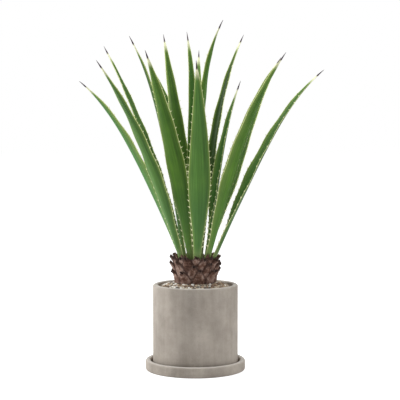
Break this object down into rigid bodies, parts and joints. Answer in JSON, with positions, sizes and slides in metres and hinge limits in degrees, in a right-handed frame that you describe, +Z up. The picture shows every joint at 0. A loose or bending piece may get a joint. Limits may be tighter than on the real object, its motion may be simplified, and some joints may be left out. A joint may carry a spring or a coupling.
{
  "type": "potted agave",
  "caption": "Rosette of long toothed leaves on a short stem clad in old leaf bases, in a round pot filled with pebbles, on a round saucer.",
  "frame": {"origin": "centre of the saucer's underside, on the ground and on the pot's axis", "axes": "+Z up along the pot's axis; -Y is the front of the plant, as pictured; +X to the right seen from the front"},
  "size_m": [0.6142, 0.5465, 0.8788],
  "materials": {
    "cement": "matte",
    "soil": "matte",
    "pebbles": "matte",
    "bark": "matte",
    "leaf": "satin"
  },
  "bodies": {
    "root": {"saucer": "cement", "pot": "cement", "soil": "soil", "gravel": "pebbles", "stem": "bark", "leaf_base_01": "bark", "leaf_base_02": "bark", "leaf_base_03": "bark", "leaf_base_04": "bark", "leaf_base_05": "bark", "leaf_base_06": "bark", "leaf_base_07": "bark", "leaf_base_08": "bark", "leaf_base_09": "bark", "leaf_base_10": "bark", "leaf_base_11": "bark", "leaf_base_12": "bark", "leaf_base_13": "bark", "leaf_base_14": "bark", "leaf_base_15": "bark", "leaf_base_16": "bark", "leaf_base_17": "bark", "leaf_base_18": "bark", "leaf_base_19": "bark", "leaf_base_20": "bark", "leaf_base_21": "bark", "leaf_base_22": "bark", "leaf_base_23": "bark", "leaf_base_24": "bark", "leaf_base_25": "bark", "leaf_base_26": "bark", "leaf_base_27": "bark", "leaf_base_28": "bark", "leaf_base_29": "bark", "leaf_base_30": "bark", "leaf_base_31": "bark", "leaf_base_32": "bark", "leaf_base_33": "bark", "leaf_base_34": "bark", "leaf_base_35": "bark", "leaf_base_36": "bark", "leaf_01": "leaf", "leaf_02": "leaf", "leaf_03": "leaf", "leaf_04": "leaf", "leaf_05": "leaf", "leaf_06": "leaf", "leaf_07": "leaf", "leaf_08": "leaf", "leaf_09": "leaf", "leaf_10": "leaf", "leaf_11": "leaf", "leaf_12": "leaf", "leaf_13": "leaf", "leaf_14": "leaf", "leaf_15": "leaf", "leaf_16": "leaf"}
  },
  "joints": []
}
